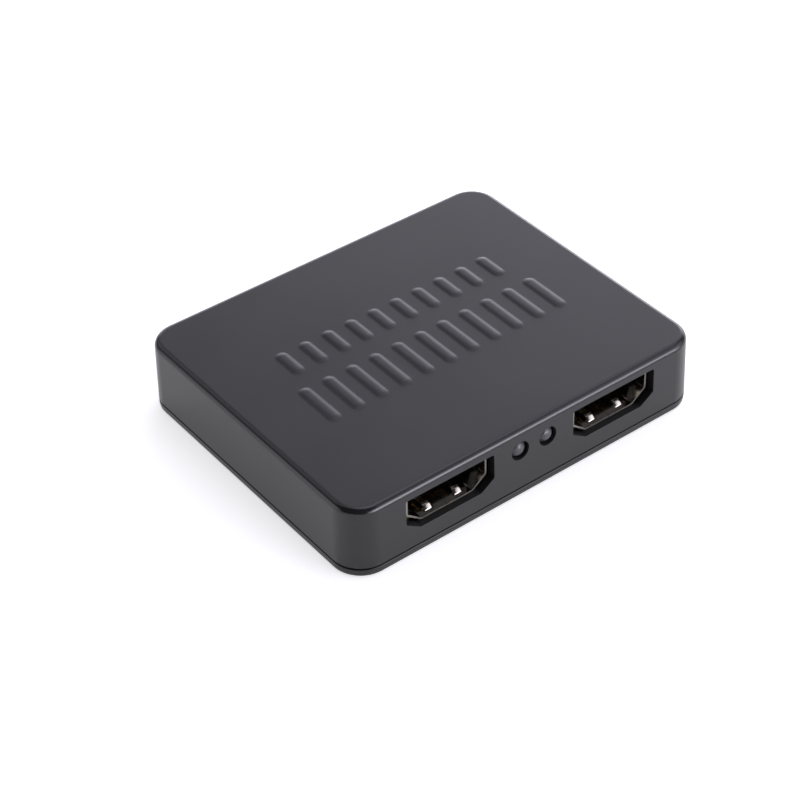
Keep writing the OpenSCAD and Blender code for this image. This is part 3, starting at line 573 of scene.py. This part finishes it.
nickel = rolled_metal("nickel plated steel", "c9c4ba", 0.1, 0.22)
sheared = rolled_metal("sheared steel edge", "8c8982", 0.4, 0.55)
tongue_black = plain_moulding("black glass filled polymer", "19191a", "131314", 0.42, 0.25)
gold = rolled_metal("gold flashed bronze", "d9b25f", 0.15, 0.25)
for socket, turn in (("output_socket_1", 0), ("output_socket_2", 0), ("input_socket", 180)):
    shell, insulator, contacts = (socket + part for part in ("_shell", "_insulator", "_contacts"))
    low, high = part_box(shell)
    floor_z = high.z - (SHELL_SHEET + OPENING_H) * MM
    rim = Vector(((low.x + high.x) / 2, high.y if turn else low.y, floor_z))
    pressed = soft_copy(shell, SHELL_EDGE, 2)
    stands_for(pressed, [nickel, sheared], "socket_steel", shell)
    mark_cut_edge(pressed, rim.y)
    stands_for(soft_copy(insulator, INSULATOR_EDGE, 2), [tongue_black], "socket_moulding", insulator)
    tip_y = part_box(contacts)[1 if turn else 0].y
    place = Matrix.Translation(rim) @ Matrix.Rotation(math.radians(turn), 4, "Z")
    foot_z = CONTACT_T / 2 - SHELL_SHEET
    rows = [
        strip_row(
            contact_path(abs(tip_y - rim.y) / MM, CONTACT_BACK, height, foot_z, CONTACT_FOOT),
            CONTACT_W, CONTACT_T, CONTACT_BEND, count, CONTACT_PITCH, gold, place,
        )
        for count, height in (
            (10, TONGUE_LOW + TONGUE_T + CONTACT_T / 2),
            (9, TONGUE_LOW - CONTACT_T / 2),
        )
    ]
    stands_for(joined(contacts + "_piece", rows), [gold], "contact_gold", contacts)


# Power socket
# A small pressed shell of the same plated steel, with a tongue that carries five contacts.
# It stands beside the input socket.
POWER_EDGE = 0.04
POWER_SHEET = 0.25
POWER_OPENING_H = 1.85
POWER_MOULD_EDGE = 0.05
POWER_CONTACTS = 5
POWER_PITCH = 0.65
POWER_CONTACT_W = 0.3
POWER_CONTACT_T = 0.12
POWER_CONTACT_Z = 0.84  # height of a contact over the opening's floor
POWER_TIP = 1.2         # from the rim to the contacts' tips
POWER_BACK = 5.5        # and to where they bend down
POWER_BEND = 0.15
POWER_FOOT = 0.7

stands_for(
    soft_copy("power_socket_shell", POWER_EDGE, 2), [nickel], "socket_steel", "power_socket_shell",
)
stands_for(
    soft_copy("power_socket_insulator", POWER_MOULD_EDGE, 2), [tongue_black],
    "socket_moulding", "power_socket_insulator",
)
low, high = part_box("power_socket_shell")
rim = Vector(((low.x + high.x) / 2, high.y, high.z - (POWER_SHEET + POWER_OPENING_H) * MM))
power_row = strip_row(
    contact_path(POWER_TIP, POWER_BACK, POWER_CONTACT_Z, POWER_CONTACT_T / 2 - POWER_SHEET, POWER_FOOT),
    POWER_CONTACT_W, POWER_CONTACT_T, POWER_BEND, POWER_CONTACTS, POWER_PITCH, gold,
    Matrix.Translation(rim) @ Matrix.Rotation(math.pi, 4, "Z"),
)
power_row.name = "power_socket_contacts_piece"
stands_for(power_row, [gold], "contact_gold", "power_socket_contacts")


# Status lamps
# Two 3 mm lamps cast from clear epoxy round a lead frame: a post with a small reflector cup,
# and a second post beside it. Their wires bend down through the board.
LENS_R = 1.5
FLANGE_R = 1.75
FLANGE_T = 0.8
LENS_EDGE = 0.12
EPOXY_WAVES = 1.2
EPOXY_BUMP = 0.05   # strength of the waves
EPOXY_DEPTH = 0.05
EPOXY_IOR = 1.54
EPOXY_CLEAR = 0.8   # share of the light that goes through
CUP_FROM_TIP = 2.1
CUP_R = 0.85
CUP_T = 0.7
CUP_LIP = 0.1
CUP_DEPTH = 0.35
CUP_FLOOR_R = 0.35
POST_FROM_TIP = 1.9
POST_ASIDE = 0.3    # the second post stands this much further from the middle than the first
WIRE = 0.5
WIRE_ASIDE = 1.05   # from the lamp's axis to each wire
WIRE_OUT = 1.6      # how far the wires run out before they bend down
WIRE_BEND = 0.4


def turned(name, outline, steps=48):
    """A body turned about Z from its half outline, given as radius and height in mm."""
    shape = bmesh.new()
    verts = [shape.verts.new((r * MM, 0, z * MM)) for r, z in outline]
    edges = [shape.edges.new(pair) for pair in zip(verts, verts[1:])]
    bmesh.ops.spin(
        shape, geom=verts + edges, axis=(0, 0, 1), cent=(0, 0, 0), angle=math.tau, steps=steps
    )
    bmesh.ops.remove_doubles(shape, verts=shape.verts, dist=WELD * MM)
    bmesh.ops.recalc_face_normals(shape, faces=shape.faces)
    piece = close_shape(name, shape)
    shade_rounded(piece)
    return piece


def arc(middle_r, middle_z, radius, start, end, steps):
    """Points of a round stretch of an outline, from one angle to another in degrees."""
    angles = [math.radians(start + (end - start) * i / steps) for i in range(steps + 1)]
    return [(middle_r + radius * math.cos(a), middle_z + radius * math.sin(a)) for a in angles]


def cast_epoxy(name):
    """Clear epoxy, cast in a mould: a smooth, faintly wavy surface and a little haze within."""
    material, tree, place = new_material(name)
    waves = noise(tree, place, EPOXY_WAVES)
    bump = add_node(tree, "ShaderNodeBump", {
        "Height": waves, "Strength": EPOXY_BUMP, "Distance": EPOXY_DEPTH * MM,
    })
    close_material(tree, {
        "Base Color": linear("94979b"),
        "Roughness": spread(tree, waves, 0.25, 0.35),
        "IOR": EPOXY_IOR,
        "Transmission Weight": EPOXY_CLEAR,
        "Normal": bump.outputs["Normal"],
    })
    return material


clear_epoxy = cast_epoxy("clear cast epoxy")
lying = Matrix.Rotation(math.radians(-90), 4, "X")
wires = []
for lamp in ("status_lamp_1", "status_lamp_2"):
    low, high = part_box(lamp)
    length = (high.y - low.y) / MM
    tip = Vector(((low.x + high.x) / 2, low.y, (low.z + high.z) / 2))
    flange = length - FLANGE_T
    outline = arc(0, LENS_R, LENS_R, -90, 0, 12) + [(LENS_R, flange)]
    outline += arc(FLANGE_R - LENS_EDGE, flange + LENS_EDGE, LENS_EDGE, -90, 0, 3)
    outline += arc(FLANGE_R - LENS_EDGE, length - LENS_EDGE, LENS_EDGE, 0, 90, 3) + [(0, length)]
    piece = turned(lamp + "_lens", outline)
    piece.data.transform(Matrix.Translation(tip) @ lying)
    stands_for(piece, [clear_epoxy], "lamp_lens", lamp)

    cup = turned(lamp + "_cup", [
        (0, CUP_FROM_TIP + CUP_DEPTH), (CUP_FLOOR_R, CUP_FROM_TIP + CUP_DEPTH),
        (CUP_R - CUP_LIP, CUP_FROM_TIP), (CUP_R, CUP_FROM_TIP),
        (CUP_R, CUP_FROM_TIP + CUP_T), (0, CUP_FROM_TIP + CUP_T),
    ], 24)
    posts = [
        strip_row(
            [(start, 0), (length, 0)], WIRE, WIRE, bend=0, count=1, pitch=1, material=tin,
            place=Matrix.Translation((x * MM, 0, 0)),
        )
        for x, start in (
            (-WIRE_ASIDE / 2, CUP_FROM_TIP + CUP_T),
            (WIRE_ASIDE / 2 + POST_ASIDE, POST_FROM_TIP),
        )
    ]
    cup.data.transform(lying)
    lead_frame = joined(lamp + "_lead_frame", [cup] + posts)
    lead_frame.data.transform(Matrix.Translation(tip))
    lead_frame.data.materials.append(tin)
    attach(lead_frame, "root")

    down = (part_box("status_lamp_wires")[0].z - tip.z) / MM
    wires.append(strip_row(
        [(length, 0), (length + WIRE_OUT, 0), (length + WIRE_OUT, down)],
        WIRE, WIRE, WIRE_BEND, 2, 2 * WIRE_ASIDE, tin, Matrix.Translation(tip),
    ))
stands_for(joined("status_lamp_wires_piece", wires), [tin], "tinned_metal", "status_lamp_wires")


# Upper shell
# The deep half of the case, moulded from the same black ABS: polished sides that lean in for
# the mould, a spark eroded top with low crowned ribs, and cut-outs for the sockets and lamps.
RIB_RISE = 0.2       # how far the ribs stand above the top
TOP_POLISHED = 0.06  # the sides are polished up to this much below the top
TOP_MATT = 0.01      # and it is eroded from here up
TOP_FACING = 0.9999  # least upright share of the top's normal


def shade_level(piece, height):
    """Shades a level face as one plane, so that no line shows where its polygons meet."""
    mesh = piece.data
    normals = [corner.vector.copy() for corner in mesh.corner_normals]
    for face in mesh.polygons:
        if face.normal.z > TOP_FACING and abs(face.center.z - height) < IN_PLANE * MM:
            for corner in face.loop_indices:
                normals[corner] = face.normal.copy()
    mesh.normals_split_custom_set(normals)


top_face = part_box("top_shell")[1].z - RIB_RISE * MM
shell_abs = moulded_abs(
    "black ABS, eroded top", top_face - TOP_POLISHED * MM, top_face - TOP_MATT * MM,
)
upper = soft_copy("top_shell", CASE_EDGE)
stands_for(upper, [shell_abs, dull_abs_painted_shade], "case_plastic", "top_shell")
mark_inner_faces(upper)
shade_level(upper, top_face)


# Case screws
# Four self tapping screws of plated steel, set head down in pockets of the underside. They
# hold cover, board and upper shell together.
HEAD_R = 1.9
HEAD_ROUND = 0.5
HEAD_T = 1.2
THREAD_CREST = 0.98
THREAD_ROOT = 0.72
THREAD_PITCH = 0.8
THREAD_FLANK = 0.25  # share of the pitch that each side of the crest takes
THREAD_POINT = 0.35  # share of the radius that is left at the tip
THREAD_STEPS = 8     # rings to one turn
THREAD_SIDES = 24
CROSS_ARM = 1.05
CROSS_W = 0.5
CROSS_DEPTH = 0.7
CROSS_TAPER = 0.35   # share of the arms' length that is left at the bottom
CROSS_OVER = 0.1     # how far the cutter stands out of the head


def thread(length):
    """A threaded shank along Z: its radius rises and falls once in each turn and each pitch."""
    shape = bmesh.new()
    rings = []
    for i in range(round(length / THREAD_PITCH * THREAD_STEPS) + 1):
        z = min(i * THREAD_PITCH / THREAD_STEPS, length)
        point = min(1, (length - z) / THREAD_PITCH)
        ring = []
        for k in range(THREAD_SIDES):
            phase = (z / THREAD_PITCH - k / THREAD_SIDES) % 1
            crest = max(0, 1 - abs(phase - 0.5) / THREAD_FLANK)
            r = THREAD_ROOT + (THREAD_CREST - THREAD_ROOT) * crest
            r *= THREAD_POINT + (1 - THREAD_POINT) * point
            a = math.tau * k / THREAD_SIDES
            ring.append(shape.verts.new((r * math.cos(a) * MM, r * math.sin(a) * MM, z * MM)))
        rings.append(ring)
    for below, above in zip(rings, rings[1:]):
        for k in range(THREAD_SIDES):
            j = (k + 1) % THREAD_SIDES
            shape.faces.new((below[k], below[j], above[j], above[k]))
    shape.faces.new(rings[0][::-1])
    shape.faces.new(rings[-1])
    return close_shape("thread", shape)


def cross_cutter():
    """A tapered cross, as the driver's tip is."""
    shape = bmesh.new()
    for turn in (0, 90):
        arm = bmesh.ops.create_cube(shape, size=1)["verts"]
        for vert in arm:
            taper = 1 if vert.co.z < 0 else CROSS_TAPER
            vert.co.x *= 2 * CROSS_ARM * MM * taper
            vert.co.y *= CROSS_W * MM * (0.5 + 0.5 * taper)
            vert.co.z = -CROSS_OVER * MM if vert.co.z < 0 else CROSS_DEPTH * MM
        bmesh.ops.rotate(shape, verts=arm, matrix=Matrix.Rotation(math.radians(turn), 3, "Z"))
    return close_shape("cross", shape)


def screws_tree():
    """Sets one screw at each corner of a grid, each turned by chance."""
    tree, given = new_tree("screws at the corners", {
        "Screw": "Geometry", "Apart X": "Float", "Apart Y": "Float",
        "Seed": "Int", "Material": "Material",
    })
    corners = add_node(tree, "GeometryNodeMeshGrid", {
        "Size X": given["Apart X"], "Size Y": given["Apart Y"], "Vertices X": 2, "Vertices Y": 2,
    })
    turn = add_node(tree, "FunctionNodeRandomValue", {3: math.tau, "Seed": given["Seed"]})
    about_z = add_node(tree, "ShaderNodeCombineXYZ", {"Z": turn.outputs[1]})
    copies = add_node(tree, "GeometryNodeInstanceOnPoints", {
        "Points": corners.outputs[0], "Instance": given["Screw"], "Rotation": about_z.outputs[0],
    })
    close_tree(tree, copies.outputs[0], given["Material"])
    return tree


low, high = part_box("case_screws")
zinc = rolled_metal("zinc plated steel", "a9abae", 0.25, 0.42, 0.08, 0.6)
head = turned("head", (
    [(0, 0)] + arc(HEAD_R - HEAD_ROUND, HEAD_ROUND, HEAD_ROUND, -90, 0, 5)
    + [(HEAD_R, HEAD_T), (0, HEAD_T)]
))
cutter = cross_cutter()
cross = head.modifiers.new("cross", "BOOLEAN")
cross.object = cutter
cross.solver = "EXACT"
cross.use_self = True
settle(head)
bpy.data.objects.remove(cutter)
shank = thread((high.z - low.z) / MM - HEAD_T)
shank.data.transform(Matrix.Translation((0, 0, HEAD_T * MM)))
screws = joined("case_screws_piece", [head, shank])
screws.data.transform(Matrix.Translation((0, 0, low.z)))
grow(screws, screws_tree(), {
    "Apart X": high.x - low.x - 2 * HEAD_R * MM, "Apart Y": high.y - low.y - 2 * HEAD_R * MM,
    "Seed": 4, "Material": zinc,
})
stands_for(screws, [zinc], "screw_steel", "case_screws")


# Floor
# A white sheet that the box stands on. It keeps the box's soft shadow, and the rest of it
# shows as white to the eye and in reflections.
FLOOR_SIDE = 4000
FLOOR_DROP = 0.02      # below the box's underside
FLOOR_WHITE = 0.9
FLOOR_CHANGE = 0.02    # share by which its fibres are darker
FLOOR_FIBRES = 0.6
FLOOR_GLOW = 0.63      # to the eye
FLOOR_MIRRORED = 0.48  # in reflections

half = FLOOR_SIDE / 2 * MM
mesh = bpy.data.meshes.new("floor")
mesh.from_pydata(
    [(x * half, y * half, -FLOOR_DROP * MM) for x, y in ((-1, -1), (1, -1), (1, 1), (-1, 1))],
    [], [(0, 1, 2, 3)],
)
floor = own_object("floor", mesh)
paper, tree, place = new_material("white paper")
seen = add_node(tree, "ShaderNodeLightPath").outputs
mirrored = reckon(tree, "MAXIMUM", seen["Is Glossy Ray"], seen["Is Transmission Ray"])
shown = reckon(
    tree, "MAXIMUM",
    reckon(tree, "MULTIPLY", seen["Is Camera Ray"], FLOOR_GLOW),
    reckon(tree, "MULTIPLY", mirrored, FLOOR_MIRRORED),
)
glow = add_node(tree, "ShaderNodeEmission", {"Strength": shown})
fibres = spread(
    tree, noise(tree, place, FLOOR_FIBRES), FLOOR_WHITE * (1 - FLOOR_CHANGE), FLOOR_WHITE,
)
matt_paper = add_node(tree, "ShaderNodeBsdfDiffuse", {"Color": fibres})
both = add_node(tree, "ShaderNodeAddShader", {0: glow.outputs[0], 1: matt_paper.outputs[0]})
add_node(tree, "ShaderNodeOutputMaterial", {"Surface": both.outputs[0]})
floor.data.materials.append(paper)


# Light
# A tent of soft panels in front of the box, to its right and behind it. The camera's side is
# left dark, and the strongest panels, low in front, draw the bright lines along the edges.
SKY_TINT = "f5f3ff"
SKY_FILL = 0.03  # strength of the sky between the panels
PANEL_CORE = math.cos(math.radians(7))   # a panel is even from its middle to this angle
PANEL_EDGE = math.cos(math.radians(28))  # and has faded out at this one
PANELS = [  # azimuth from +X and elevation of each panel's middle, in degrees, and its strength
    (-75, 4, 6.5),
    (-60, 4, 4),
    (-36, 28, 1.7),
    (30, 4, 3.8),
    (36, 28, 1.1),
    (60, 4, 3.2),
    (105, 28, 0.5),
    (150, 4, 1.9),
    (0, 52, 0.3),
    (105, 52, 0.65),
    (20, 74, 2),
]

world = bpy.data.worlds.new("studio")
bpy.context.scene.world = world
world.use_nodes = True
tree = world.node_tree
tree.nodes.clear()
way = add_node(tree, "ShaderNodeTexCoord").outputs["Generated"]
brightness = SKY_FILL
for azimuth, elevation, strength in PANELS:
    turn, rise = math.radians(azimuth), math.radians(elevation)
    panel = (math.cos(turn) * math.cos(rise), math.sin(turn) * math.cos(rise), math.sin(rise))
    near = add_node(tree, "ShaderNodeVectorMath", {0: way, 1: panel}, operation="DOT_PRODUCT")
    light = spread(tree, near.outputs["Value"], 0, strength, PANEL_EDGE, PANEL_CORE)
    brightness = reckon(tree, "ADD", light, brightness)
seen = add_node(tree, "ShaderNodeLightPath").outputs["Is Camera Ray"]
sky = add_node(tree, "ShaderNodeBackground", {
    "Color": blend_colours(tree, seen, SKY_TINT, "ffffff"),
    "Strength": blend_values(tree, seen, brightness, 1),
})
add_node(tree, "ShaderNodeOutputWorld", {"Surface": sky.outputs[0]})

bpy.context.scene.view_settings.view_transform = "Standard"
